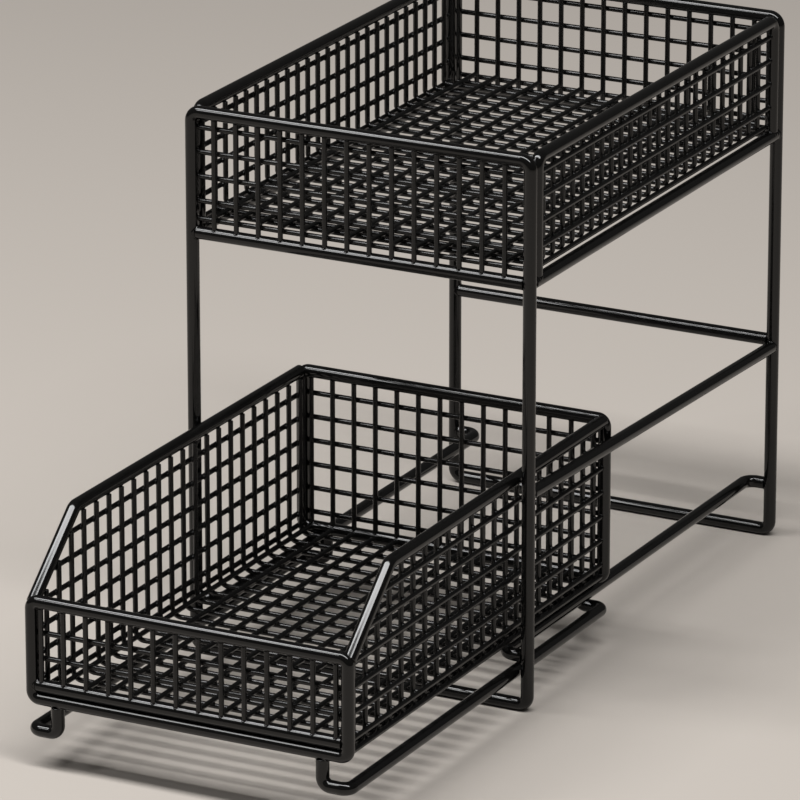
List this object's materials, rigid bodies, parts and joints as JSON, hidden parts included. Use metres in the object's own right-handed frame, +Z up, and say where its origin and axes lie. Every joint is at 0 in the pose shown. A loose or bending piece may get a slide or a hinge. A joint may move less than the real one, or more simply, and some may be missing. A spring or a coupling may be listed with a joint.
{
  "type": "pull out cabinet basket",
  "caption": "Two-tier wire cabinet organiser: a fixed mesh basket on a rod frame over a mesh basket that slides out on runners.",
  "frame": {"origin": "on the floor, at the middle of the whole footprint with the lower basket pulled out as at rest", "axes": "+Z up, -Y to the front, the way the basket pulls out, +X to the right seen from the front"},
  "size_m": [0.2036, 0.495, 0.3025],
  "materials": {
    "coated_rod": "gloss black coating on steel rod",
    "coated_mesh": "gloss black coating on steel mesh wire"
  },
  "bodies": {
    "frame": {"front_frame_loop": "coated_rod", "rear_frame_loop": "coated_rod", "upper_front_rail": "coated_rod", "upper_rear_rail": "coated_rod", "upper_left_rail": "coated_rod", "upper_right_rail": "coated_rod", "upper_left_hoop": "coated_rod", "upper_right_hoop": "coated_rod", "rear_mid_rail": "coated_rod", "right_mid_rail": "coated_rod", "left_slide_rail": "coated_rod", "right_slide_rail": "coated_rod", "upper_cross_wires": "coated_mesh", "upper_floor_wires": "coated_mesh", "upper_end_wires": "coated_mesh", "upper_left_side_wires": "coated_mesh", "upper_right_side_wires": "coated_mesh", "upper_front_mesh_uprights": "coated_mesh", "upper_front_mesh_rows": "coated_mesh", "upper_rear_mesh_uprights": "coated_mesh", "upper_rear_mesh_rows": "coated_mesh"},
    "lower_basket": {"basket_front_loop": "coated_rod", "basket_front_sill": "coated_rod", "basket_back_loop": "coated_rod", "basket_left_rim": "coated_rod", "basket_right_rim": "coated_rod", "basket_left_runner": "coated_rod", "basket_right_runner": "coated_rod", "basket_cross_wires": "coated_mesh", "basket_floor_wires": "coated_mesh", "basket_left_side_wires": "coated_mesh", "basket_right_side_wires": "coated_mesh", "basket_front_mesh_uprights": "coated_mesh", "basket_front_mesh_rows": "coated_mesh", "basket_back_mesh_uprights": "coated_mesh", "basket_back_mesh_rows": "coated_mesh"}
  },
  "joints": [
    {"name": "basket_slide", "type": "slide", "parent": "frame", "child": "lower_basket", "axis": [0, -1, 0], "range_m": [-0.189, 0.1]}
  ]
}
